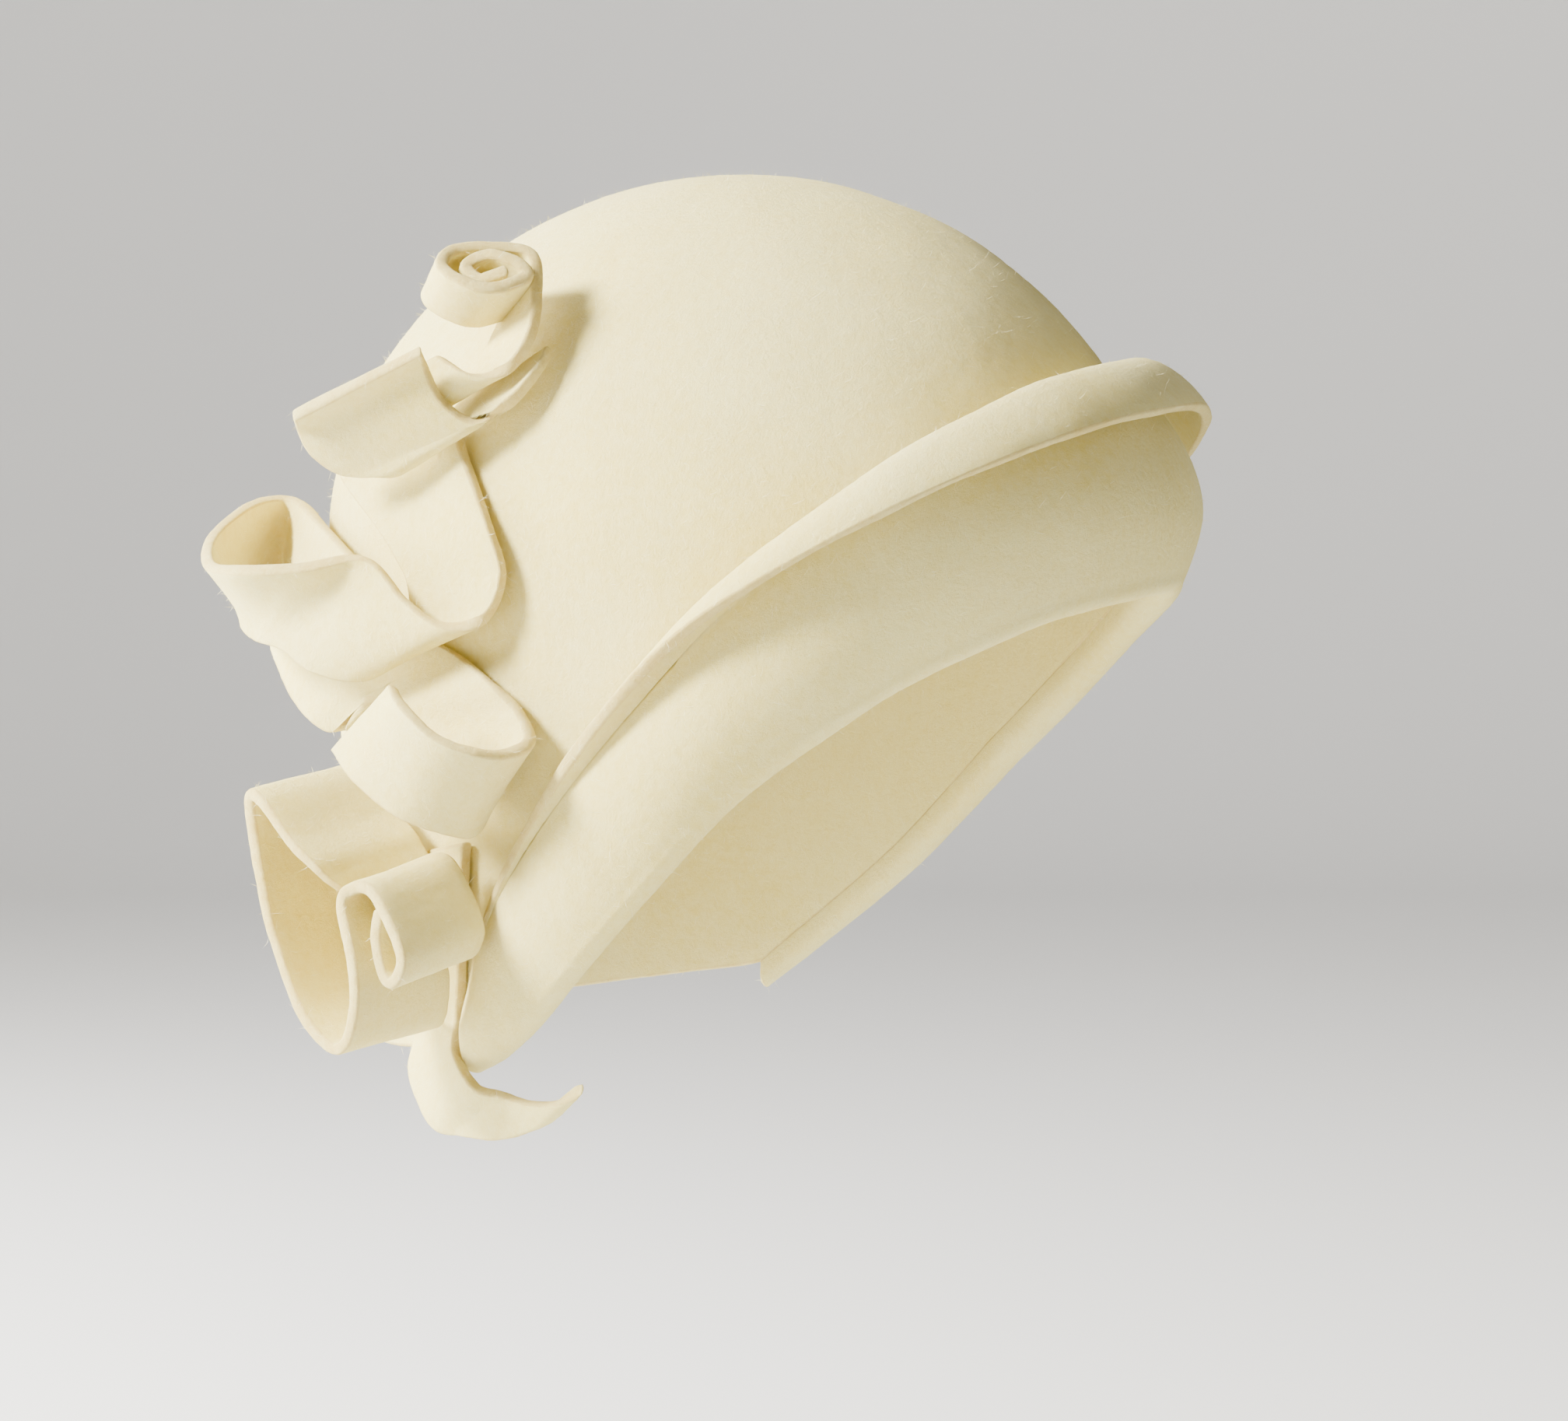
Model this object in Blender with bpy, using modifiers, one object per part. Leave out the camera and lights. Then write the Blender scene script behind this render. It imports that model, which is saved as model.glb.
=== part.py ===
"""Cloche hat in cream wool felt, worn: a blocked crown, a brim turned up into a cuff, and ribbons of the same felt.

The hat stands as a head wears it: +Z up, the forehead towards -Y and the wearer's right side towards -X.
The origin is the centre of the head opening, level with the lowest part of the rim at the ears.
Azimuths are in degrees round the crown from the front, positive towards the wearer's right.
"""

import math

import bmesh
import bpy
from mathutils import Vector

# Sizes of the felt, in metres.
FELT = 0.0026
RIBBON_FELT = 0.0026
GAP = 0.0006

# Sizes of the crown. A power says how a curve fills out between its ends.
CROWN_HALF_LENGTH = 0.103
CROWN_HALF_WIDTH = 0.085
CROWN_HEIGHT = 0.192
WIDEST_HEIGHT = 0.115
DOME_POWER = 1.8
RIM_NARROWING = 0.10
RIM_POWER = 1.5
NAPE_DROP = 0.007
NAPE_POWER = 0.7

# Sizes of the brim.
BRIM_RISE = 0.100
CUFF_HEIGHT = 0.050
FOLD_RADIUS = 0.0030
SEAM_RISE = 0.0030
BELLY_REACH = 0.0085
BELLY_POWER = 0.9
NECK_REACH = 0.0040
LIP_REACH = 0.0125
LIP_RISE = 0.0060
LIP_DROP = 0.0120

# The brim, a row for each section from the right ear over the forehead to the left side.
# rim and cuff are shares of BRIM_RISE and CUFF_HEIGHT, belly, neck and lip of their reaches, turn is in degrees.
BRIM_COLUMNS = ("azimuth", "rim", "cuff", "fold", "belly", "neck", "lip", "turn")
BRIM_SECTIONS = [
    (-82, 0.00, 0.36, 0.70, 0.40, 0.50, 0.65, 25),
    (-76, 0.04, 0.66, 0.80, 0.55, 0.60, 0.65, 38),
    (-68, 0.14, 0.82, 0.90, 0.70, 0.70, 0.65, 60),
    (-54, 0.37, 0.90, 1.00, 0.85, 0.85, 0.75, 100),
    (-40, 0.60, 0.94, 1.00, 0.95, 0.95, 0.90, 140),
    (-20, 0.82, 0.99, 1.00, 1.00, 1.00, 1.00, 160),
    (0, 0.95, 1.00, 1.00, 1.00, 1.00, 1.00, 165),
    (20, 1.00, 1.01, 1.00, 1.00, 1.00, 1.00, 165),
    (45, 1.00, 1.01, 1.00, 1.00, 1.00, 1.00, 165),
    (70, 0.88, 1.00, 1.00, 1.00, 1.00, 1.00, 160),
    (95, 0.60, 0.95, 1.00, 0.90, 0.90, 0.85, 140),
    (115, 0.30, 0.84, 0.95, 0.75, 0.75, 0.75, 80),
    (136, 0.04, 0.40, 0.70, 0.40, 0.50, 0.65, 25),
]

# How many steps each surface is drawn in. A crowding draws the steps together at one end: the brim's towards the
# right ear, the crown's towards the top. SLOPE_STEP is how far apart two points lie that give the crown's slope.
BRIM_STEPS = 42
BRIM_CROWDING = 1.2
BACK_STEPS = 16
CROWN_ROWS = 16
CROWN_CROWDING = 1.7
SLOPE_STEP = 0.0002
FOLD_STEPS = 4
CUFF_STEPS = 6
LIP_STEPS = 6

# The ribbons, a row for each section. The first three columns place the edge next to the crown: its azimuth, its
# height as a share of CROWN_HEIGHT and its stand-off from the crown as a share of RIBBON_WIDTH. From there the
# width runs level towards the azimuth in heading, dips below level by lean, and is a share of RIBBON_WIDTH.
RIBBON_WIDTH = 0.033
RIBBON_STEPS = 4
RIBBON_COLUMNS = ("azimuth", "height", "stand_off", "heading", "lean", "width")
ROSETTE = [
    (72.5, 0.823, 0.55, 196, 30, 0.38),
    (75, 0.813, 0.60, 196, 30, 0.40),
    (77.5, 0.822, 0.64, 196, 30, 0.40),
    (75.5, 0.835, 0.60, 196, 30, 0.40),
    (72, 0.836, 0.50, 196, 30, 0.40),
    (70.5, 0.827, 0.45, 196, 30, 0.40),
    (72.5, 0.804, 0.60, 196, 30, 0.40),
    (76, 0.803, 0.74, 196, 30, 0.40),
    (79, 0.813, 0.76, 196, 30, 0.40),
    (80, 0.830, 0.70, 196, 30, 0.40),
    (77.5, 0.847, 0.55, 194, 30, 0.40),
    (73, 0.855, 0.40, 188, 29, 0.40),
    (70, 0.823, 0.33, 178, 27, 0.43),
    (69, 0.787, 0.29, 166, 25, 0.50),
    (70.8, 0.753, 0.30, 158, 24, 0.58),
    (75, 0.742, 0.38, 154, 24, 0.60),
    (79.5, 0.752, 0.45, 152, 24, 0.60),
]
UPPER_FOLD = [
    (68.4, 0.785, 0.12, 150, 30, 0.70),
    (68.4, 0.761, 0.16, 150, 30, 0.85),
    (70.7, 0.727, 0.20, 150, 28, 0.95),
    (75.2, 0.706, 0.24, 150, 21, 0.96),
    (77.7, 0.715, 0.42, 150, 20, 0.97),
    (78.3, 0.735, 0.60, 150, 23, 0.97),
    (77, 0.740, 0.74, 150, 24, 0.97),
]
LOOPS = [
    (80.5, 0.708, 0.06, 162, 14, 0.95),
    (80, 0.690, 0.08, 163, 13, 1.00),
    (73, 0.605, 0.10, 165, 7, 0.87),
    (70.7, 0.553, 0.12, 165, 8, 0.78),
    (72.5, 0.508, 0.19, 167, 14, 0.74),
    (77, 0.501, 0.31, 167, 26, 0.78),
    (82, 0.526, 0.36, 160, 31, 0.88),
    (87.5, 0.570, 0.43, 160, 42, 0.88),
    (92, 0.562, 0.74, 185, 36, 0.80),
    (98, 0.560, 1.00, 215, 30, 0.75),
    (107, 0.564, 0.97, 240, 35, 0.75),
    (117.5, 0.590, 0.80, 235, 45, 0.80),
    (125, 0.615, 0.52, 220, 52, 0.80),
    (127, 0.622, 0.25, 205, 58, 0.85),
    (112, 0.600, 0.13, 180, 52, 1.00),
    (99.5, 0.563, 0.13, 165, 53, 1.00),
    (91.5, 0.517, 0.10, 160, 48, 1.00),
    (85, 0.482, 0.06, 165, 38, 1.00),
    (79, 0.461, 0.06, 165, 20, 0.88),
    (72.7, 0.432, 0.10, 165, 10, 0.80),
    (68.8, 0.406, 0.12, 168, 14, 0.72),
    (65.6, 0.378, 0.25, 180, 35, 0.70),
    (66, 0.369, 0.48, 188, 47, 0.70),
    (67, 0.375, 0.69, 186, 46, 0.70),
    (70.3, 0.393, 0.83, 184, 45, 0.70),
    (74.5, 0.425, 0.83, 180, 42, 0.72),
    (78.5, 0.438, 0.66, 176, 34, 0.75),
]
LOWER_CURL = [
    (85.8, 0.236, 0.14, 80, 10, 0.74),
    (86.8, 0.247, 0.14, 79, 9, 0.82),
    (88.5, 0.263, 0.14, 77, 8, 0.90),
    (92, 0.287, 0.15, 75, 8, 0.96),
    (96.5, 0.330, 0.17, 75, 8, 1.00),
    (99.5, 0.333, 0.18, 75, 8, 1.00),
    (100.3, 0.285, 0.16, 75, 6, 1.00),
    (99, 0.230, 0.16, 75, 6, 1.00),
    (97.2, 0.178, 0.16, 75, 6, 1.00),
    (92.5, 0.100, 0.14, 75, 6, 1.00),
    (87, 0.062, 0.17, 74, 6, 0.95),
    (83, 0.070, 0.24, 73, 6, 0.90),
    (80.5, 0.118, 0.29, 73, 8, 0.85),
    (80.7, 0.166, 0.32, 73, 8, 0.80),
    (83, 0.224, 0.31, 73, 9, 0.76),
    (81.5, 0.243, 0.29, 73, 10, 0.75),
    (78.4, 0.243, 0.28, 73, 10, 0.75),
    (75.8, 0.213, 0.28, 73, 10, 0.75),
    (73.8, 0.176, 0.29, 73, 10, 0.75),
    (74.3, 0.154, 0.30, 73, 10, 0.75),
    (75.8, 0.145, 0.30, 73, 10, 0.75),
    (77.2, 0.158, 0.30, 73, 10, 0.74),
    (78, 0.192, 0.28, 73, 10, 0.75),
    (77.5, 0.218, 0.27, 73, 10, 0.74),
]
TAIL = [
    (80, 0.255, 0.06, 176, 10, 0.45),
    (81, 0.200, 0.06, 176, 10, 0.45),
    (82, 0.145, 0.06, 178, 12, 0.48),
    (83, 0.095, 0.06, 180, 14, 0.50),
    (83.6, 0.053, 0.08, 180, 16, 0.50),
    (83, 0.024, 0.14, 180, 20, 0.55),
    (78, -0.006, 0.22, 180, 28, 0.58),
    (73.5, -0.013, 0.21, 180, 30, 0.58),
    (68.3, -0.017, 0.25, 176, 33, 0.47),
    (63.7, -0.013, 0.27, 172, 36, 0.34),
    (60.2, 0.003, 0.27, 170, 34, 0.20),
]
RIBBONS = {
    "rosette": ROSETTE,
    "upper_fold": UPPER_FOLD,
    "loops": LOOPS,
    "lower_curl": LOWER_CURL,
    "tail": TAIL,
}

FELT_COLOUR = (0.80, 0.74, 0.58, 1.0)
FELT_ROUGHNESS = 0.92


def clear_scene():
    for obj in list(bpy.data.objects):
        bpy.data.objects.remove(obj, do_unlink=True)


def collection(name):
    made = bpy.data.collections.new(name)
    bpy.context.scene.collection.children.link(made)
    return made


def felt_material(name, colour):
    material = bpy.data.materials.new(name)
    material.use_nodes = True
    shader = material.node_tree.nodes["Principled BSDF"]
    shader.inputs["Base Color"].default_value = colour
    shader.inputs["Roughness"].default_value = FELT_ROUGHNESS
    shader.inputs["Metallic"].default_value = 0.0
    material.diffuse_color = colour
    return material


def smooth_value(rows, place, column):
    """The value of a column at a place in the first column, on a smooth curve through the rows."""
    keys = [row[0] for row in rows]
    values = [row[column] for row in rows]
    place = min(max(place, keys[0]), keys[-1])
    last = len(rows) - 1
    i = max(k for k in range(last) if keys[k] <= place)

    def slope(k):
        low = max(k - 1, 0)
        high = min(k + 1, last)
        return (values[high] - values[low]) / (keys[high] - keys[low])

    step = keys[i + 1] - keys[i]
    t = (place - keys[i]) / step
    start = (1 + 2 * t) * (1 - t) ** 2 * values[i] + t * (1 - t) ** 2 * step * slope(i)
    end = t * t * (3 - 2 * t) * values[i + 1] - t * t * (1 - t) * step * slope(i + 1)
    return start + end


def crown_share(height):
    """How wide the crown is at a height, as a share of its widest."""
    if height > WIDEST_HEIGHT:
        up = min((height - WIDEST_HEIGHT) / (CROWN_HEIGHT - WIDEST_HEIGHT), 1.0)
        return math.sqrt(1.0 - up**DOME_POWER)
    down = (WIDEST_HEIGHT - height) / WIDEST_HEIGHT
    return 1.0 - RIM_NARROWING * down**RIM_POWER


def crown_point(azimuth, height):
    """A point on the outside of the crown."""
    angle = math.radians(azimuth)
    share = crown_share(height)
    return Vector((-CROWN_HALF_WIDTH * share * math.sin(angle), -CROWN_HALF_LENGTH * share * math.cos(angle), height))


def level_normal(azimuth):
    """The level direction straight out of the crown."""
    angle = math.radians(azimuth)
    return Vector((-math.sin(angle) / CROWN_HALF_WIDTH, -math.cos(angle) / CROWN_HALF_LENGTH, 0.0)).normalized()


def crown_normal(azimuth, height):
    """The direction straight out of the crown's surface."""
    top = min(height + SLOPE_STEP, CROWN_HEIGHT)
    back = level_normal(azimuth).cross(Vector((0, 0, 1)))
    along = crown_point(azimuth, top) - crown_point(azimuth, top - 2 * SLOPE_STEP)
    return back.cross(along).normalized() * -1.0


def brim_value(azimuth, name):
    return smooth_value(BRIM_SECTIONS, -azimuth, BRIM_COLUMNS.index(name))


def brim_rim(azimuth):
    return BRIM_RISE * brim_value(azimuth, "rim")


def fold_radius(azimuth):
    return FOLD_RADIUS * brim_value(azimuth, "fold")


def crown_edge(azimuth):
    """The height of the crown's lower edge, where the brim's inner edge meets it."""
    return brim_rim(azimuth) + FELT / 2 + fold_radius(azimuth) + SEAM_RISE + GAP


def brim_azimuths():
    """The sections' azimuths, closer together towards the ear."""
    first = -BRIM_SECTIONS[0][0]
    last = -BRIM_SECTIONS[-1][0]
    return [first + (last - first) * (k / BRIM_STEPS) ** BRIM_CROWDING for k in range(BRIM_STEPS + 1)]


def crown_azimuths():
    """The brim's azimuths, then evenly round the back."""
    front = brim_azimuths()
    back_span = 360 - (front[0] - front[-1])
    return front + [front[-1] - back_span * k / BACK_STEPS for k in range(1, BACK_STEPS)]


def crown_lower_edge(azimuth):
    """The lower edge's height all round: under the brim, and level with the brim's ends round the back."""
    first = -BRIM_SECTIONS[0][0]
    last = -BRIM_SECTIONS[-1][0]
    if azimuth >= last:
        return crown_edge(azimuth)
    along = (last - azimuth) / (360 - (first - last))
    ease = along * along * (3 - 2 * along)
    level = crown_edge(last) + (crown_edge(first) - crown_edge(last)) * ease
    return level - NAPE_DROP * math.sin(math.pi * along) ** NAPE_POWER


def grid_object(name, columns, closed, target, material, pole=None):
    """A surface through columns of points, joined to its first column if closed, with a fan at the pole."""
    mesh = bmesh.new()
    verts = [[mesh.verts.new(point) for point in column] for column in columns]
    tip = mesh.verts.new(pole) if pole else None
    count = len(verts)
    for i in range(count if closed else count - 1):
        here = verts[i]
        after = verts[(i + 1) % count]
        if tip:
            mesh.faces.new((tip, here[0], after[0]))
        for k in range(len(here) - 1):
            mesh.faces.new((here[k], here[k + 1], after[k + 1], after[k]))
    bmesh.ops.recalc_face_normals(mesh, faces=mesh.faces)
    data = bpy.data.meshes.new(name)
    mesh.to_mesh(data)
    mesh.free()
    data.shade_smooth()
    data.materials.append(material)
    obj = bpy.data.objects.new(name, data)
    target.objects.link(obj)
    return obj


def thicken(obj, thickness, offset):
    """Gives a surface the felt's thickness."""
    solidify = obj.modifiers.new("felt", "SOLIDIFY")
    solidify.thickness = thickness
    solidify.offset = offset


def make_crown(target, material):
    columns = []
    for azimuth in crown_azimuths():
        edge = crown_lower_edge(azimuth)
        column = []
        for k in range(1, CROWN_ROWS + 1):
            down = k / CROWN_ROWS
            height = edge + (CROWN_HEIGHT - edge) * (1 - down**CROWN_CROWDING)
            column.append(crown_point(azimuth, height))
        columns.append(column)
    obj = grid_object("crown", columns, True, target, material, pole=Vector((0, 0, CROWN_HEIGHT)))
    thicken(obj, FELT, -1.0)
    return obj


def brim_profile(azimuth):
    """The middle of the brim's felt from the crown's edge, under the fold, up the cuff and over the lip.

    Each point is how far it stands out from the crown's outside, and its height.
    """
    rim = brim_rim(azimuth)
    fold = fold_radius(azimuth)
    top = rim + CUFF_HEIGHT * brim_value(azimuth, "cuff") - FELT / 2
    neck_height = top - LIP_RISE * brim_value(azimuth, "lip")
    neck = NECK_REACH * brim_value(azimuth, "neck")
    belly = BELLY_REACH * brim_value(azimuth, "belly")
    lip = LIP_REACH / 2 * brim_value(azimuth, "lip")
    turn = math.radians(brim_value(azimuth, "turn"))
    middle = rim + FELT / 2 + fold
    points = [(-FELT / 2, middle + SEAM_RISE)]
    for k in range(FOLD_STEPS + 1):
        angle = math.pi * k / FOLD_STEPS
        points.append((-FELT / 2 + fold - fold * math.cos(angle), middle - fold * math.sin(angle)))
    start = points[-1][0]
    for k in range(1, CUFF_STEPS + 1):
        up = k / CUFF_STEPS
        bulge = math.sin(math.pi * up) ** BELLY_POWER
        level = start + (neck - start) * up
        reach = level + (belly - (start + neck) / 2) * bulge
        points.append((reach, middle + (neck_height - middle) * up))
    for k in range(1, LIP_STEPS + 1):
        angle = turn * k / LIP_STEPS
        tall = top - neck_height if angle < math.pi / 2 else LIP_DROP * brim_value(azimuth, "lip")
        points.append((neck + lip * (1 - math.cos(angle)), top - tall + tall * math.sin(angle)))
    return points


def make_brim(target, material):
    columns = []
    for azimuth in brim_azimuths():
        out = level_normal(azimuth)
        column = []
        for reach, height in brim_profile(azimuth):
            column.append(crown_point(azimuth, height) + out * reach)
        columns.append(column)
    obj = grid_object("brim", columns, False, target, material)
    thicken(obj, FELT, 0.0)
    return obj


def ribbon_section(row):
    """The two edges of a ribbon at one row: the edge next to the crown and the free edge."""
    value = dict(zip(RIBBON_COLUMNS, row))
    azimuth = value["azimuth"]
    height = value["height"] * CROWN_HEIGHT
    near = crown_point(azimuth, height) + crown_normal(azimuth, height) * value["stand_off"] * RIBBON_WIDTH
    heading = math.radians(value["heading"])
    lean = math.radians(value["lean"])
    level = math.cos(lean)
    across = Vector((-math.sin(heading) * level, -math.cos(heading) * level, -math.sin(lean)))
    return near, near + across * value["width"] * RIBBON_WIDTH


def smooth_path(points, steps):
    """Points on a smooth curve through the given ones, so many to each span."""
    path = []
    last = len(points) - 1
    for i in range(last):
        before = points[max(i - 1, 0)]
        start = points[i]
        end = points[i + 1]
        after = points[min(i + 2, last)]
        for k in range(steps):
            t = k / steps
            leave = (end - before) / 2
            arrive = (after - start) / 2
            path.append(
                start * (2 * t**3 - 3 * t**2 + 1)
                + leave * (t**3 - 2 * t**2 + t)
                + end * (3 * t**2 - 2 * t**3)
                + arrive * (t**3 - t**2)
            )
    path.append(points[last])
    return path


def make_ribbon(name, rows, target, material):
    sections = [ribbon_section(row) for row in rows]
    near = smooth_path([section[0] for section in sections], RIBBON_STEPS)
    far = smooth_path([section[1] for section in sections], RIBBON_STEPS)
    columns = [[a, a.lerp(b, 0.5), b] for a, b in zip(near, far)]
    obj = grid_object(name, columns, False, target, material)
    thicken(obj, RIBBON_FELT, 0.0)
    return obj


def main():
    clear_scene()
    hat = collection("cloche_hat")
    felt = felt_material("felt", FELT_COLOUR)
    make_crown(hat, felt)
    make_brim(hat, felt)
    for name, rows in RIBBONS.items():
        make_ribbon(name, rows, hat, felt)


main()
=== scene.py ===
"""The looks of the cloche hat: soft cream wool felt with fuzzy fibres, worn at the photograph's angle.

The frame is the part's own: +Z up, the forehead towards -Y, the wearer's right side towards -X.
Each piece is built again from the part's sizes and tables with finer steps, rounded edges and a felt surface.
"""

import math
import random

import bmesh
import bpy
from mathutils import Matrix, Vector, noise


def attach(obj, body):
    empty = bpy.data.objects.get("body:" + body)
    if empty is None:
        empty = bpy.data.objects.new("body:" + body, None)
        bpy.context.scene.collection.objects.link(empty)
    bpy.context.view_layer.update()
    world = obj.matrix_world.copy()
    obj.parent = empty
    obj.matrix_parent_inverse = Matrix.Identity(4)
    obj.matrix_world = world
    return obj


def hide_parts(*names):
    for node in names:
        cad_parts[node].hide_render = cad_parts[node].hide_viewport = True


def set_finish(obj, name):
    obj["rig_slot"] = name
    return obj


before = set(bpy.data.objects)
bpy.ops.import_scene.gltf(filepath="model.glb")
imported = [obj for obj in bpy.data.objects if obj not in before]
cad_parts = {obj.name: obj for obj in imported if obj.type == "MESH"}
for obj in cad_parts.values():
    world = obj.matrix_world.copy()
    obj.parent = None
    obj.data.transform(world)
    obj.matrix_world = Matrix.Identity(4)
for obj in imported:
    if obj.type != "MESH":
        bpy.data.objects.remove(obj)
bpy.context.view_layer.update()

# Sizes of the felt, in metres.
FELT = 0.0026
RIBBON_FELT = 0.0026
GAP = 0.0006

# Sizes of the crown. A power says how a curve fills out between its ends.
CROWN_HALF_LENGTH = 0.103
CROWN_HALF_WIDTH = 0.085
CROWN_HEIGHT = 0.192
WIDEST_HEIGHT = 0.115
DOME_POWER = 1.8
RIM_NARROWING = 0.10
RIM_POWER = 1.5
NAPE_DROP = 0.007
NAPE_POWER = 0.7

# Sizes of the brim.
BRIM_RISE = 0.100
CUFF_HEIGHT = 0.050
FOLD_RADIUS = 0.0030
SEAM_RISE = 0.0030
BELLY_REACH = 0.0085
BELLY_POWER = 0.9
NECK_REACH = 0.0040
LIP_REACH = 0.0125
LIP_RISE = 0.0060
LIP_DROP = 0.0120

# The brim, a row for each section from the right ear over the forehead to the left side.
# rim and cuff are shares of BRIM_RISE and CUFF_HEIGHT, belly, neck and lip of their reaches, turn is in degrees.
BRIM_COLUMNS = ("azimuth", "rim", "cuff", "fold", "belly", "neck", "lip", "turn")
BRIM_SECTIONS = [
    (-82, 0.00, 0.36, 0.70, 0.40, 0.50, 0.65, 25),
    (-76, 0.04, 0.66, 0.80, 0.55, 0.60, 0.65, 38),
    (-68, 0.14, 0.82, 0.90, 0.70, 0.70, 0.65, 60),
    (-54, 0.37, 0.90, 1.00, 0.85, 0.85, 0.75, 100),
    (-40, 0.60, 0.94, 1.00, 0.95, 0.95, 0.90, 140),
    (-20, 0.82, 0.99, 1.00, 1.00, 1.00, 1.00, 160),
    (0, 0.95, 1.00, 1.00, 1.00, 1.00, 1.00, 165),
    (20, 1.00, 1.01, 1.00, 1.00, 1.00, 1.00, 165),
    (45, 1.00, 1.01, 1.00, 1.00, 1.00, 1.00, 165),
    (70, 0.88, 1.00, 1.00, 1.00, 1.00, 1.00, 160),
    (95, 0.60, 0.95, 1.00, 0.90, 0.90, 0.85, 140),
    (115, 0.30, 0.84, 0.95, 0.75, 0.75, 0.75, 80),
    (136, 0.04, 0.40, 0.70, 0.40, 0.50, 0.65, 25),
]

# How many steps each surface is drawn in. A crowding draws the steps together at one end: the brim's towards the
# right ear, the crown's towards the top. SLOPE_STEP is how far apart two points lie that give the crown's slope.
BRIM_STEPS = 220
BRIM_CROWDING = 1.2
BACK_STEPS = 90
CROWN_ROWS = 80
CROWN_CROWDING = 1.7
SLOPE_STEP = 0.0002
FOLD_STEPS = 12
CUFF_STEPS = 24
LIP_STEPS = 14

# The ribbons, a row for each section. The first three columns place the edge next to the crown: its azimuth, its
# height as a share of CROWN_HEIGHT and its stand-off from the crown as a share of RIBBON_WIDTH. From there the
# width runs level towards the azimuth in heading, dips below level by lean, and is a share of RIBBON_WIDTH.
RIBBON_WIDTH = 0.033
RIBBON_STEPS = 16
RIBBON_ACROSS = 10
RIBBON_COLUMNS = ("azimuth", "height", "stand_off", "heading", "lean", "width")
ROSETTE = [
    (72.5, 0.823, 0.55, 196, 30, 0.38),
    (75, 0.813, 0.60, 196, 30, 0.40),
    (77.5, 0.822, 0.64, 196, 30, 0.40),
    (75.5, 0.835, 0.60, 196, 30, 0.40),
    (72, 0.836, 0.50, 196, 30, 0.40),
    (70.5, 0.827, 0.45, 196, 30, 0.40),
    (72.5, 0.804, 0.60, 196, 30, 0.40),
    (76, 0.803, 0.74, 196, 30, 0.40),
    (79, 0.813, 0.76, 196, 30, 0.40),
    (80, 0.830, 0.70, 196, 30, 0.40),
    (77.5, 0.847, 0.55, 194, 30, 0.40),
    (73, 0.855, 0.40, 188, 29, 0.40),
    (70, 0.823, 0.33, 178, 27, 0.43),
    (69, 0.787, 0.29, 166, 25, 0.50),
    (70.8, 0.753, 0.30, 158, 24, 0.58),
    (75, 0.742, 0.38, 154, 24, 0.60),
    (79.5, 0.752, 0.45, 152, 24, 0.60),
]
UPPER_FOLD = [
    (68.4, 0.785, 0.12, 150, 30, 0.70),
    (68.4, 0.761, 0.16, 150, 30, 0.85),
    (70.7, 0.727, 0.20, 150, 28, 0.95),
    (75.2, 0.706, 0.24, 150, 21, 0.96),
    (77.7, 0.715, 0.42, 150, 20, 0.97),
    (78.3, 0.735, 0.60, 150, 23, 0.97),
    (77, 0.740, 0.74, 150, 24, 0.97),
]
LOOPS = [
    (80.5, 0.708, 0.06, 162, 14, 0.95),
    (80, 0.690, 0.08, 163, 13, 1.00),
    (73, 0.605, 0.10, 165, 7, 0.87),
    (70.7, 0.553, 0.12, 165, 8, 0.78),
    (72.5, 0.508, 0.19, 167, 14, 0.74),
    (77, 0.501, 0.31, 167, 26, 0.78),
    (82, 0.526, 0.36, 160, 31, 0.88),
    (87.5, 0.570, 0.43, 160, 42, 0.88),
    (92, 0.562, 0.74, 185, 36, 0.80),
    (98, 0.560, 1.00, 215, 30, 0.75),
    (107, 0.564, 0.97, 240, 35, 0.75),
    (117.5, 0.590, 0.80, 235, 45, 0.80),
    (125, 0.615, 0.52, 220, 52, 0.80),
    (127, 0.622, 0.25, 205, 58, 0.85),
    (112, 0.600, 0.13, 180, 52, 1.00),
    (99.5, 0.563, 0.13, 165, 53, 1.00),
    (91.5, 0.517, 0.10, 160, 48, 1.00),
    (85, 0.482, 0.06, 165, 38, 1.00),
    (79, 0.461, 0.06, 165, 20, 0.88),
    (72.7, 0.432, 0.10, 165, 10, 0.80),
    (68.8, 0.406, 0.12, 168, 14, 0.72),
    (65.6, 0.378, 0.25, 180, 35, 0.70),
    (66, 0.369, 0.48, 188, 47, 0.70),
    (67, 0.375, 0.69, 186, 46, 0.70),
    (70.3, 0.393, 0.83, 184, 45, 0.70),
    (74.5, 0.425, 0.83, 180, 42, 0.72),
    (78.5, 0.438, 0.66, 176, 34, 0.75),
]
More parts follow.
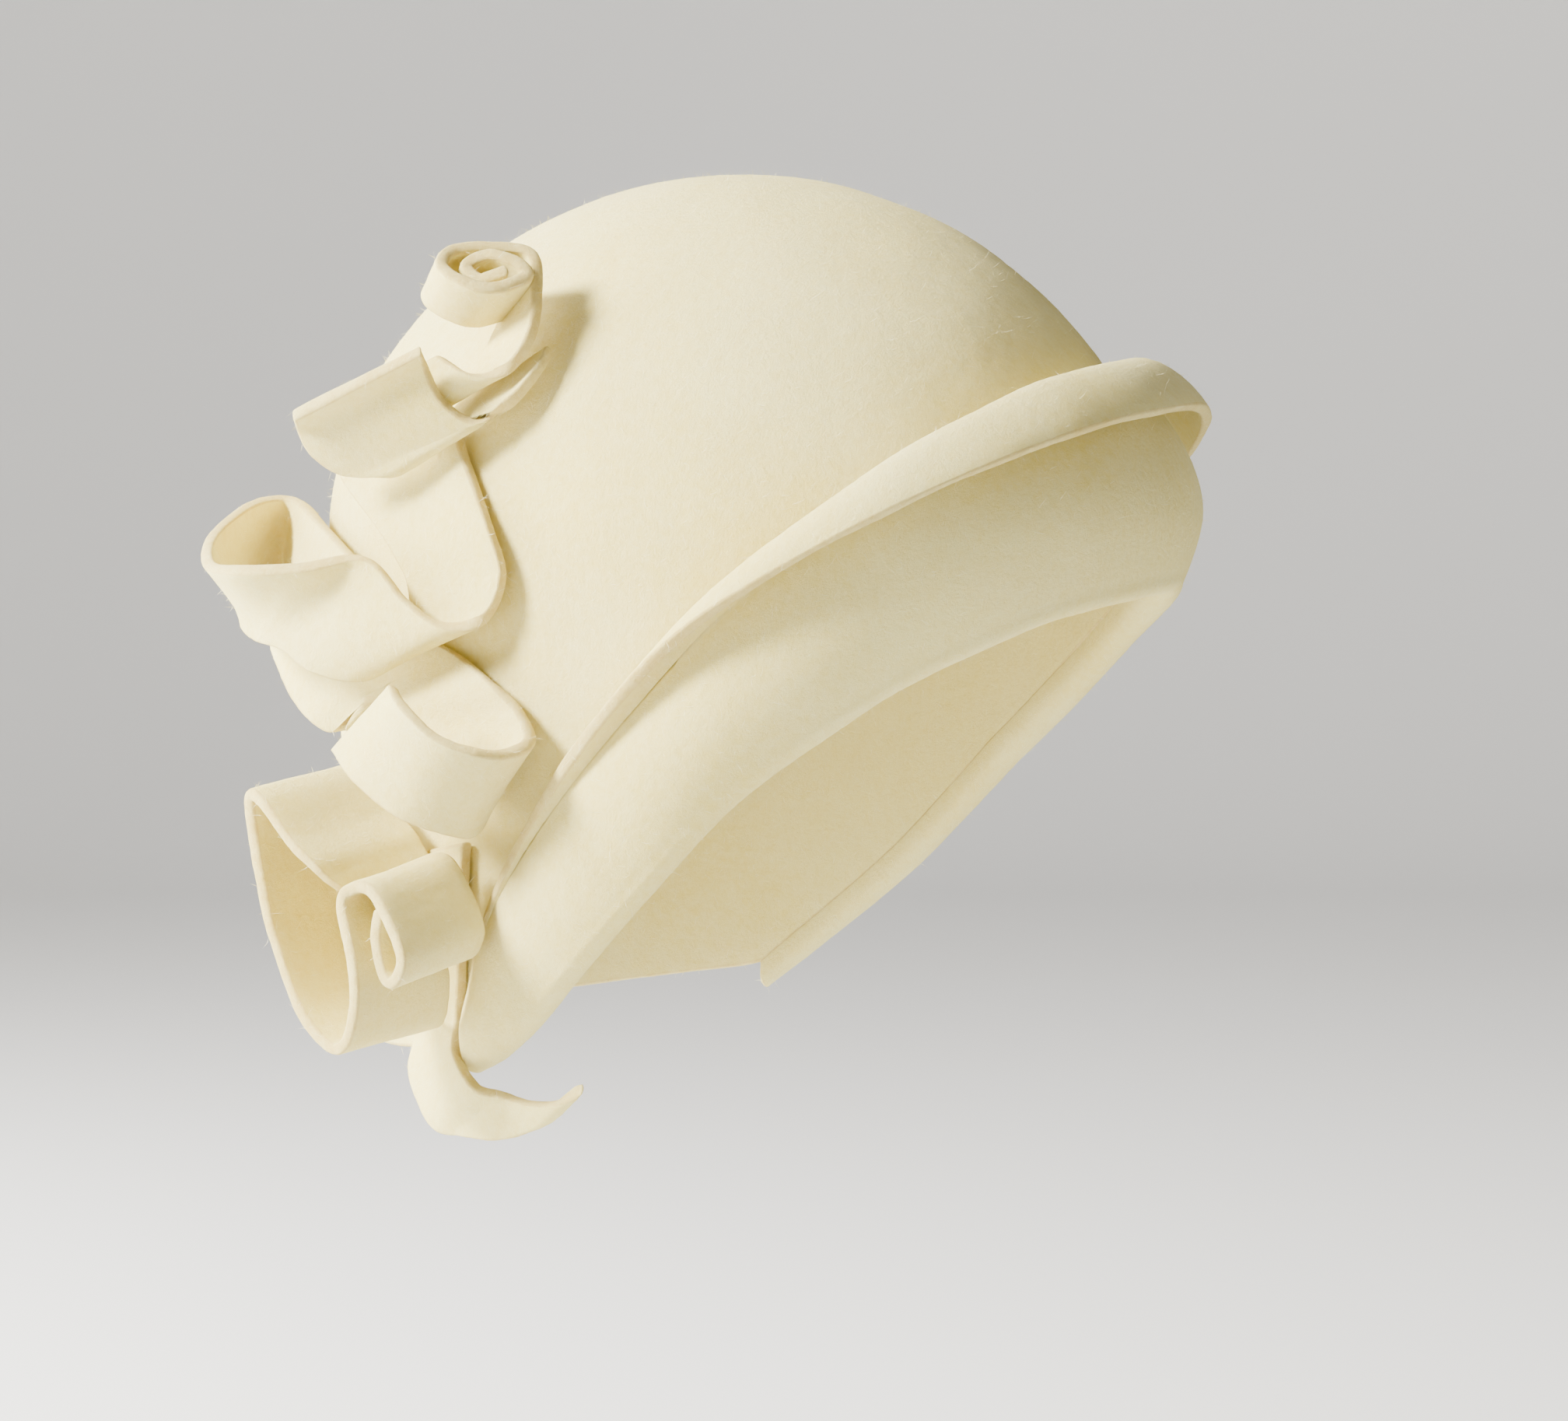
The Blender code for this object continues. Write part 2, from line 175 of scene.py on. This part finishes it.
LOWER_CURL = [
    (85.8, 0.236, 0.14, 80, 10, 0.74),
    (86.8, 0.247, 0.14, 79, 9, 0.82),
    (88.5, 0.263, 0.14, 77, 8, 0.90),
    (92, 0.287, 0.15, 75, 8, 0.96),
    (96.5, 0.330, 0.17, 75, 8, 1.00),
    (99.5, 0.333, 0.18, 75, 8, 1.00),
    (100.3, 0.285, 0.16, 75, 6, 1.00),
    (99, 0.230, 0.16, 75, 6, 1.00),
    (97.2, 0.178, 0.16, 75, 6, 1.00),
    (92.5, 0.100, 0.14, 75, 6, 1.00),
    (87, 0.062, 0.17, 74, 6, 0.95),
    (83, 0.070, 0.24, 73, 6, 0.90),
    (80.5, 0.118, 0.29, 73, 8, 0.85),
    (80.7, 0.166, 0.32, 73, 8, 0.80),
    (83, 0.224, 0.31, 73, 9, 0.76),
    (81.5, 0.243, 0.29, 73, 10, 0.75),
    (78.4, 0.243, 0.28, 73, 10, 0.75),
    (75.8, 0.213, 0.28, 73, 10, 0.75),
    (73.8, 0.176, 0.29, 73, 10, 0.75),
    (74.3, 0.154, 0.30, 73, 10, 0.75),
    (75.8, 0.145, 0.30, 73, 10, 0.75),
    (77.2, 0.158, 0.30, 73, 10, 0.74),
    (78, 0.192, 0.28, 73, 10, 0.75),
    (77.5, 0.218, 0.27, 73, 10, 0.74),
]
TAIL = [
    (80, 0.255, 0.06, 176, 10, 0.45),
    (81, 0.200, 0.06, 176, 10, 0.45),
    (82, 0.145, 0.06, 178, 12, 0.48),
    (83, 0.095, 0.06, 180, 14, 0.50),
    (83.6, 0.053, 0.08, 180, 16, 0.50),
    (83, 0.024, 0.14, 180, 20, 0.55),
    (78, -0.006, 0.22, 180, 28, 0.58),
    (73.5, -0.013, 0.21, 180, 30, 0.58),
    (68.3, -0.017, 0.25, 176, 33, 0.47),
    (63.7, -0.013, 0.27, 172, 36, 0.34),
    (60.2, 0.003, 0.27, 170, 34, 0.20),
]
RIBBONS = {
    "rosette": ROSETTE,
    "upper_fold": UPPER_FOLD,
    "loops": LOOPS,
    "lower_curl": LOWER_CURL,
    "tail": TAIL,
}

def smooth_value(rows, place, column):
    """The value of a column at a place in the first column, on a smooth curve through the rows."""
    keys = [row[0] for row in rows]
    values = [row[column] for row in rows]
    place = min(max(place, keys[0]), keys[-1])
    last = len(rows) - 1
    i = max(k for k in range(last) if keys[k] <= place)

    def slope(k):
        low = max(k - 1, 0)
        high = min(k + 1, last)
        return (values[high] - values[low]) / (keys[high] - keys[low])

    step = keys[i + 1] - keys[i]
    t = (place - keys[i]) / step
    start = (1 + 2 * t) * (1 - t) ** 2 * values[i] + t * (1 - t) ** 2 * step * slope(i)
    end = t * t * (3 - 2 * t) * values[i + 1] - t * t * (1 - t) * step * slope(i + 1)
    return start + end


def crown_share(height):
    """How wide the crown is at a height, as a share of its widest."""
    if height > WIDEST_HEIGHT:
        up = min((height - WIDEST_HEIGHT) / (CROWN_HEIGHT - WIDEST_HEIGHT), 1.0)
        return math.sqrt(1.0 - up**DOME_POWER)
    down = (WIDEST_HEIGHT - height) / WIDEST_HEIGHT
    return 1.0 - RIM_NARROWING * down**RIM_POWER


def crown_point(azimuth, height):
    """A point on the outside of the crown."""
    angle = math.radians(azimuth)
    share = crown_share(height)
    return Vector((-CROWN_HALF_WIDTH * share * math.sin(angle), -CROWN_HALF_LENGTH * share * math.cos(angle), height))


def level_normal(azimuth):
    """The level direction straight out of the crown."""
    angle = math.radians(azimuth)
    return Vector((-math.sin(angle) / CROWN_HALF_WIDTH, -math.cos(angle) / CROWN_HALF_LENGTH, 0.0)).normalized()


def crown_normal(azimuth, height):
    """The direction straight out of the crown's surface."""
    top = min(height + SLOPE_STEP, CROWN_HEIGHT)
    back = level_normal(azimuth).cross(Vector((0, 0, 1)))
    along = crown_point(azimuth, top) - crown_point(azimuth, top - 2 * SLOPE_STEP)
    return back.cross(along).normalized() * -1.0


def brim_value(azimuth, name):
    return smooth_value(BRIM_SECTIONS, -azimuth, BRIM_COLUMNS.index(name))


def brim_rim(azimuth):
    return BRIM_RISE * brim_value(azimuth, "rim")


def fold_radius(azimuth):
    return FOLD_RADIUS * brim_value(azimuth, "fold")


def crown_edge(azimuth):
    """The height of the crown's lower edge, where the brim's inner edge meets it."""
    return brim_rim(azimuth) + FELT / 2 + fold_radius(azimuth) + SEAM_RISE + GAP


def brim_azimuths():
    """The sections' azimuths, closer together towards the ear."""
    first = -BRIM_SECTIONS[0][0]
    last = -BRIM_SECTIONS[-1][0]
    return [first + (last - first) * (k / BRIM_STEPS) ** BRIM_CROWDING for k in range(BRIM_STEPS + 1)]


def crown_azimuths():
    """The brim's azimuths, then evenly round the back."""
    front = brim_azimuths()
    back_span = 360 - (front[0] - front[-1])
    return front + [front[-1] - back_span * k / BACK_STEPS for k in range(1, BACK_STEPS)]


def crown_lower_edge(azimuth):
    """The lower edge's height all round: under the brim, and level with the brim's ends round the back."""
    first = -BRIM_SECTIONS[0][0]
    last = -BRIM_SECTIONS[-1][0]
    if azimuth >= last:
        return crown_edge(azimuth)
    along = (last - azimuth) / (360 - (first - last))
    ease = along * along * (3 - 2 * along)
    level = crown_edge(last) + (crown_edge(first) - crown_edge(last)) * ease
    return level - NAPE_DROP * math.sin(math.pi * along) ** NAPE_POWER


def brim_profile(azimuth):
    """The middle of the brim's felt from the crown's edge, under the fold, up the cuff and over the lip.

    Each point is how far it stands out from the crown's outside, and its height.
    """
    rim = brim_rim(azimuth)
    fold = fold_radius(azimuth)
    top = rim + CUFF_HEIGHT * brim_value(azimuth, "cuff") - FELT / 2
    neck_height = top - LIP_RISE * brim_value(azimuth, "lip")
    neck = NECK_REACH * brim_value(azimuth, "neck")
    belly = BELLY_REACH * brim_value(azimuth, "belly")
    lip = LIP_REACH / 2 * brim_value(azimuth, "lip")
    turn = math.radians(brim_value(azimuth, "turn"))
    middle = rim + FELT / 2 + fold
    points = [(-FELT / 2, middle + SEAM_RISE)]
    for k in range(FOLD_STEPS + 1):
        angle = math.pi * k / FOLD_STEPS
        points.append((-FELT / 2 + fold - fold * math.cos(angle), middle - fold * math.sin(angle)))
    start = points[-1][0]
    for k in range(1, CUFF_STEPS + 1):
        up = k / CUFF_STEPS
        bulge = math.sin(math.pi * up) ** BELLY_POWER
        level = start + (neck - start) * up
        reach = level + (belly - (start + neck) / 2) * bulge
        points.append((reach, middle + (neck_height - middle) * up))
    for k in range(1, LIP_STEPS + 1):
        angle = turn * k / LIP_STEPS
        tall = top - neck_height if angle < math.pi / 2 else LIP_DROP * brim_value(azimuth, "lip")
        points.append((neck + lip * (1 - math.cos(angle)), top - tall + tall * math.sin(angle)))
    return points


def ribbon_section(row):
    """The two edges of a ribbon at one row: the edge next to the crown and the free edge."""
    value = dict(zip(RIBBON_COLUMNS, row))
    azimuth = value["azimuth"]
    height = value["height"] * CROWN_HEIGHT
    near = crown_point(azimuth, height) + crown_normal(azimuth, height) * value["stand_off"] * RIBBON_WIDTH
    heading = math.radians(value["heading"])
    lean = math.radians(value["lean"])
    level = math.cos(lean)
    across = Vector((-math.sin(heading) * level, -math.cos(heading) * level, -math.sin(lean)))
    return near, near + across * value["width"] * RIBBON_WIDTH


def smooth_path(points, steps):
    """Points on a smooth curve through the given ones, so many to each span."""
    path = []
    last = len(points) - 1
    for i in range(last):
        before = points[max(i - 1, 0)]
        start = points[i]
        end = points[i + 1]
        after = points[min(i + 2, last)]
        for k in range(steps):
            t = k / steps
            leave = (end - before) / 2
            arrive = (after - start) / 2
            path.append(
                start * (2 * t**3 - 3 * t**2 + 1)
                + leave * (t**3 - 2 * t**2 + t)
                + end * (3 * t**2 - 2 * t**3)
                + arrive * (t**3 - t**2)
            )
    path.append(points[last])
    return path


# Sizes of the felt's surface.
EDGE_STEPS = 6
EDGE_BULGE = 0.55
EDGE_POWER = 0.7
END_TURNS = (math.radians(35), math.radians(70))
WOBBLE = 0.00035
WOBBLE_SIZE = 0.018
PILL = 0.00010
PILL_SIZE = 0.0022

# Sizes of the loose fibres, and how many stand on each square metre of felt.
FIBRES_PER_AREA = 140000
FIBRE_LENGTHS = (0.0007, 0.0028)
FIBRE_HALF_WIDTH = 0.00003
FIBRE_RISE = 0.55
FIBRE_CURL = 0.45
SEED = 11

# Colours, as the photograph shows them in plain light, save the cut edge's pair, which is darker as painted shade.
CREAM = (0.92, 0.82, 0.36, 1.0)
CREAM_DEEP = (0.85, 0.71, 0.21, 1.0)
# The cut edge's two tones: the felt's colours darkened, painted shade on every cut edge and end.
CUT_EDGE_PAINTED_SHADE = (0.90, 0.77, 0.32, 1.0)
CUT_EDGE_DEEP_PAINTED_SHADE = (0.76, 0.58, 0.17, 1.0)
FIBRE = (0.96, 0.89, 0.54, 1.0)
FLOOR = (0.86, 0.86, 0.86, 1.0)

# The camera: the photograph's direction, and where it looks.
VIEW_AZIMUTH = -35.0
VIEW_ELEVATION = 3.0
DISTANCE = 1.3
PIXELS_PER_METRE = 5800
IMAGE_WIDTH = 2016
AIM_RIGHT = 0.010
AIM_UP = 0.07405
SENSOR = 36.0
FLOOR_HEIGHT = -0.15


def felt_material(name, light, deep, edge):
    """Felt: two tones in soft clouds, a fine matted surface and a little light carried inside the wool."""
    material = bpy.data.materials.new(name)
    material.use_nodes = True
    nodes = material.node_tree.nodes
    links = material.node_tree.links
    shader = nodes["Principled BSDF"]
    place = nodes.new("ShaderNodeTexCoord")

    def clouds(scale, detail, roughness):
        node = nodes.new("ShaderNodeTexNoise")
        node.inputs["Scale"].default_value = scale
        node.inputs["Detail"].default_value = detail
        node.inputs["Roughness"].default_value = roughness
        links.new(place.outputs["Object"], node.inputs["Vector"])
        return node.outputs["Fac"]

    def span(value, low, high):
        node = nodes.new("ShaderNodeMapRange")
        node.inputs["From Min"].default_value = low
        node.inputs["From Max"].default_value = high
        links.new(value, node.inputs["Value"])
        return node.outputs["Result"]

    def blend(kind, first, second, share):
        node = nodes.new("ShaderNodeMix")
        node.data_type = "RGBA"
        node.blend_type = kind
        for value, socket in ((share, node.inputs[0]), (first, node.inputs[6]), (second, node.inputs[7])):
            if isinstance(value, bpy.types.NodeSocket):
                links.new(value, socket)
            else:
                socket.default_value = value
        return node.outputs[2]

    large = span(clouds(22.0, 3.0, 0.5), 0.40, 0.66)
    small = span(clouds(420.0, 6.0, 0.75), 0.38, 0.64)
    tone = blend("MIX", light, deep, large)
    tone = blend("MIX", tone, blend("MIX", light, deep, small), 0.55)
    links.new(tone, shader.inputs["Base Color"])
    bump = nodes.new("ShaderNodeBump")
    bump.inputs["Strength"].default_value = 0.95 if edge else 0.80
    bump.inputs["Distance"].default_value = 0.0008
    links.new(clouds(900.0 if edge else 700.0, 8.0, 0.8), bump.inputs["Height"])
    links.new(bump.outputs["Normal"], shader.inputs["Normal"])
    shader.inputs["Roughness"].default_value = 0.95
    shader.inputs["Specular IOR Level"].default_value = 0.12
    shader.inputs["Sheen Weight"].default_value = 0.20
    shader.inputs["Sheen Roughness"].default_value = 0.45
    shader.inputs["Sheen Tint"].default_value = (1.0, 0.92, 0.72, 1.0)
    shader.inputs["Subsurface Weight"].default_value = 0.12
    shader.inputs["Subsurface Radius"].default_value = (1.0, 0.8, 0.45)
    shader.inputs["Subsurface Scale"].default_value = 0.002
    material.diffuse_color = light
    return material


def plain_material(name, colour, roughness):
    material = bpy.data.materials.new(name)
    material.use_nodes = True
    shader = material.node_tree.nodes["Principled BSDF"]
    shader.inputs["Base Color"].default_value = colour
    shader.inputs["Roughness"].default_value = roughness
    shader.inputs["Specular IOR Level"].default_value = 0.1
    material.diffuse_color = colour
    return material


def grid_mesh(name, columns):
    """A surface through columns of points."""
    mesh = bmesh.new()
    verts = [[mesh.verts.new(point) for point in column] for column in columns]
    for here, after in zip(verts, verts[1:]):
        for k in range(len(here) - 1):
            mesh.faces.new((here[k], here[k + 1], after[k + 1], after[k]))
    bmesh.ops.recalc_face_normals(mesh, faces=mesh.faces)
    data = bpy.data.meshes.new(name)
    mesh.to_mesh(data)
    mesh.free()
    return data


def roughen(data, offset):
    """Moves the surface in and out a little, as hand-pressed felt is never quite even."""
    data.update()
    moved = []
    for vert in data.vertices:
        slow = noise.noise(vert.co / WOBBLE_SIZE + offset)
        quick = noise.noise(vert.co / PILL_SIZE + offset)
        moved.append(vert.co + vert.normal * (slow * WOBBLE + quick * PILL))
    for vert, co in zip(data.vertices, moved):
        vert.co = co
    data.update()


def surface_normals(columns, closed):
    """The surface's direction at each point, from the points around it."""
    count = len(columns)
    across = len(columns[0])
    found = []
    for i in range(count):
        before = columns[i - 1] if closed or i else columns[i]
        after = columns[(i + 1) % count] if closed or i < count - 1 else columns[i]
        row = []
        for k in range(across):
            along = after[k] - before[k]
            over = columns[i][min(k + 1, across - 1)] - columns[i][max(k - 1, 0)]
            row.append(along.cross(over).normalized())
        found.append(row)
    return found


def edge_arc(point, normal, out, half, bulge):
    """The rounded cut edge from one face of the felt to the other."""
    arc = []
    for k in range(1, EDGE_STEPS):
        angle = math.pi * k / EDGE_STEPS
        level = math.copysign(abs(math.cos(angle)) ** EDGE_POWER, math.cos(angle))
        arc.append(point + normal * half * level + out * bulge * math.sin(angle) ** EDGE_POWER)
    return arc


def felt_ring(points, normals, half, bulge, both_edges):
    """The felt's outline at one column: one face, the cut edge, the other face and the other cut edge."""
    far_out = (points[-1] - points[-2]).normalized()
    ring = [p + n * half for p, n in zip(points, normals)]
    ring += edge_arc(points[-1], normals[-1], far_out, half, bulge)
    ring += [p - n * half for p, n in zip(reversed(points), reversed(normals))]
    if both_edges:
        near_out = (points[0] - points[1]).normalized()
        ring += edge_arc(points[0], normals[0] * -1, near_out, half, bulge)
    return ring


def felt_mesh(name, columns, thickness, pole=None):
    """A closed felt body round a surface. With a pole it is the crown, which is closed round and lies inside."""
    closed = pole is not None
    half = thickness / 2
    normals = surface_normals(columns, closed)
    if closed:
        columns = [[p + n * half for p, n in zip(*pair)] for pair in zip(columns, normals)]
    rings = [felt_ring(p, n, half, half * EDGE_BULGE, not closed) for p, n in zip(columns, normals)]
    if not closed:
        for end, inner in ((0, 1), (-1, -2)):
            away = [(p - q).normalized() for p, q in zip(columns[end], columns[inner])]
            for turn in END_TURNS:
                reach = half * EDGE_BULGE * math.sin(turn)
                thin = half * math.cos(turn) ** EDGE_POWER
                points = [p + a * reach for p, a in zip(columns[end], away)]
                ring = felt_ring(points, normals[end], thin, thin * EDGE_BULGE, True)
                rings.insert(0 if end == 0 else len(rings), ring)
    mesh = bmesh.new()
    verts = [[mesh.verts.new(point) for point in ring] for ring in rings]
    across = len(columns[0])
    size = len(rings[0])
    far_face = across + EDGE_STEPS - 2
    for i in range(len(verts) if closed else len(verts) - 1):
        here = verts[i]
        after = verts[(i + 1) % len(verts)]
        for j in range(size - 1 if closed else size):
            face = mesh.faces.new((here[j], here[(j + 1) % size], after[(j + 1) % size], after[j]))
            on_edge = across - 1 <= j <= far_face or j >= far_face + across
            on_end = not closed and not len(END_TURNS) <= i < len(verts) - 1 - len(END_TURNS)
            # Material 1 goes on the cut edges and the ends, where its darker tones paint shade.
            face.material_index = 1 if on_edge or on_end else 0
    if closed:
        inside = mesh.verts.new(pole - Vector((0, 0, thickness)))
        outside = mesh.verts.new(pole)
        for i, here in enumerate(verts):
            after = verts[(i + 1) % len(verts)]
            mesh.faces.new((inside, here[0], after[0]))
            mesh.faces.new((outside, here[-1], after[-1]))
    else:
        last = far_face + across
        for ring in (verts[0], verts[-1]):
            for k in range(across - 1):
                mesh.faces.new((ring[k], ring[k + 1], ring[last - k - 1], ring[last - k])).material_index = 1
            mesh.faces.new(ring[across - 1:far_face + 2]).material_index = 1
            mesh.faces.new(ring[last:] + ring[:1]).material_index = 1
    bmesh.ops.recalc_face_normals(mesh, faces=mesh.faces)
    data = bpy.data.meshes.new(name)
    mesh.to_mesh(data)
    mesh.free()
    return data


def felt_piece(name, data, node, slot, materials, number):
    """A felt body with the wool's uneven surface, standing for one CAD node."""
    for material in materials:
        data.materials.append(material)
    roughen(data, Vector((number * 7.1, number * 3.3, number * 5.7)))
    data.shade_smooth()
    obj = bpy.data.objects.new(name, data)
    bpy.context.scene.collection.objects.link(obj)
    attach(obj, "root")
    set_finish(obj, slot)
    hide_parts(node)
    return obj


def make_crown(materials):
    columns = []
    for azimuth in crown_azimuths():
        edge = crown_lower_edge(azimuth)
        column = []
        for k in range(1, CROWN_ROWS + 1):
            down = k / CROWN_ROWS
            column.append(crown_point(azimuth, edge + (CROWN_HEIGHT - edge) * (1 - down**CROWN_CROWDING)))
        columns.append(column)
    data = felt_mesh("crown_felt", columns, FELT, pole=Vector((0, 0, CROWN_HEIGHT)))
    return felt_piece("crown_felt", data, "crown", "felt", materials, 1)


def make_brim(materials):
    columns = []
    for azimuth in brim_azimuths():
        out = level_normal(azimuth)
        columns.append([crown_point(azimuth, height) + out * reach for reach, height in brim_profile(azimuth)])
    return felt_piece("brim_felt", felt_mesh("brim_felt", columns, FELT), "brim", "felt", materials, 2)


def make_ribbon(node, rows, materials, number):
    sections = [ribbon_section(row) for row in rows]
    near = smooth_path([section[0] for section in sections], RIBBON_STEPS)
    far = smooth_path([section[1] for section in sections], RIBBON_STEPS)
    columns = [[a.lerp(b, k / RIBBON_ACROSS) for k in range(RIBBON_ACROSS + 1)] for a, b in zip(near, far)]
    data = felt_mesh(node + "_felt", columns, RIBBON_FELT)
    obj = felt_piece(node + "_felt", data, node, "ribbon_felt", materials, number)
    return obj


def make_fibres(obj, material, rng):
    """Loose wool fibres: thin curved blades rooted on the felt's surface."""
    data = obj.data
    data.calc_loop_triangles()
    corners = [[data.vertices[i].co for i in tri.vertices] for tri in data.loop_triangles]
    areas = [tri.area for tri in data.loop_triangles]
    count = int(sum(areas) * FIBRES_PER_AREA)
    chosen = rng.choices(range(len(areas)), weights=areas, k=count)
    verts = []
    faces = []
    for index in chosen:
        a, b, c = corners[index]
        normal = data.loop_triangles[index].normal
        u, v = rng.random(), rng.random()
        if u + v > 1:
            u, v = 1 - u, 1 - v
        root = a + (b - a) * u + (c - a) * v
        turn = Vector((rng.gauss(0, 1), rng.gauss(0, 1), rng.gauss(0, 1)))
        along = (turn - normal * turn.dot(normal)).normalized()
        length = FIBRE_LENGTHS[0] + (FIBRE_LENGTHS[1] - FIBRE_LENGTHS[0]) * rng.random() ** 2
        rise = normal * rng.random() * FIBRE_RISE
        side = along.cross(normal)
        bend = side * rng.uniform(-FIBRE_CURL, FIBRE_CURL)
        middle = root + (along + rise) * length * 0.5 + bend * length * 0.3
        tip = root + (along + rise * 1.6) * length + bend * length
        wide = side * FIBRE_HALF_WIDTH
        first = len(verts)
        verts += [root - wide, root + wide, middle + wide, middle - wide, tip]
        faces += [(first, first + 1, first + 2, first + 3), (first + 3, first + 2, first + 4)]
    mesh = bpy.data.meshes.new(obj.name + "_fibres")
    mesh.from_pydata(verts, [], faces)
    mesh.materials.append(material)
    fibres = bpy.data.objects.new(obj.name + "_fibres", mesh)
    bpy.context.scene.collection.objects.link(fibres)
    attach(fibres, "root")
    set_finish(fibres, obj["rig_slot"])
    return fibres


def make_stage():
    """A pale floor that sweeps up behind the hat."""
    material = plain_material("floor", FLOOR, 0.9)
    reach = 4.0
    back = 2.2
    radius = 0.8
    line = [(-reach, 0.0), (back, 0.0)]
    for k in range(1, 13):
        angle = math.radians(90) * k / 12
        line.append((back + radius * math.sin(angle), radius * (1 - math.cos(angle))))
    line.append((back + radius, reach))
    columns = [[Vector((x, y, FLOOR_HEIGHT + z)) for y, z in line] for x in (-reach, 0, reach)]
    data = grid_mesh("floor", columns)
    data.shade_smooth()
    data.materials.append(material)
    floor = bpy.data.objects.new("floor", data)
    floor.rotation_euler = (0, 0, math.radians(VIEW_AZIMUTH))
    bpy.context.scene.collection.objects.link(floor)


def view_directions():
    """The image's right, up and back directions."""
    turn = math.radians(VIEW_AZIMUTH)
    rise = math.radians(VIEW_ELEVATION)
    right = Vector((math.cos(turn), math.sin(turn), 0))
    back = Vector((math.sin(turn) * math.cos(rise), -math.cos(turn) * math.cos(rise), math.sin(rise)))
    return right, back.cross(right), back


def soft_light(name, place, size, power, colour):
    """A square light at a place given along the image's right, up and back directions, aimed at the hat."""
    right, up, back = view_directions()
    aim = Vector((0, 0, CROWN_HEIGHT / 2))
    spot = aim + right * place[0] + up * place[1] + back * place[2]
    light = bpy.data.lights.new(name, "AREA")
    light.shape = "SQUARE"
    light.size = size
    light.energy = power
    light.color = colour
    obj = bpy.data.objects.new(name, light)
    obj.location = spot
    obj.rotation_euler = (aim - spot).to_track_quat("-Z", "Y").to_euler()
    bpy.context.scene.collection.objects.link(obj)


def make_lights():
    soft_light("key_light", (-1.15, 0.75, 0.45), 0.45, 120.0, (1.0, 0.97, 0.90))
    soft_light("side_light", (-1.2, 0.1, -0.5), 0.8, 60.0, (1.0, 0.98, 0.93))
    soft_light("fill_light", (1.3, 0.5, 1.2), 1.4, 3.0, (1.0, 0.94, 0.82))
    world = bpy.data.worlds.new("room")
    world.use_nodes = True
    shade = world.node_tree.nodes["Background"]
    shade.inputs["Color"].default_value = (1.0, 0.97, 0.93, 1.0)
    shade.inputs["Strength"].default_value = 0.36
    bpy.context.scene.world = world


def make_camera():
    right, up, back = view_directions()
    lens = bpy.data.cameras.new("camera")
    lens.sensor_width = SENSOR
    lens.lens = SENSOR * DISTANCE * PIXELS_PER_METRE / IMAGE_WIDTH
    obj = bpy.data.objects.new("camera", lens)
    aim = right * AIM_RIGHT + up * AIM_UP
    obj.location = aim + back * DISTANCE
    obj.rotation_euler = back.to_track_quat("Z", "Y").to_euler()
    bpy.context.scene.collection.objects.link(obj)
    bpy.context.scene.camera = obj


def main():
    rng = random.Random(SEED)
    felt = felt_material("wool_felt", CREAM, CREAM_DEEP, False)
    # The cut edge material: the felt's clouds in darker tones, painted shade on every cut edge.
    edge = felt_material("felt_cut_edge_painted_shade", CUT_EDGE_PAINTED_SHADE, CUT_EDGE_DEEP_PAINTED_SHADE, True)
    fibre = plain_material("felt_fibre", FIBRE, 0.9)
    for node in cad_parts.values():
        node.data.materials.clear()
        node.data.materials.append(felt)
    made = [make_crown([felt, edge]), make_brim([felt, edge])]
    for number, (node, rows) in enumerate(RIBBONS.items(), start=3):
        made.append(make_ribbon(node, rows, [felt, edge], number))
    for obj in made:
        make_fibres(obj, fibre, rng)
    make_stage()
    make_lights()
    make_camera()


main()
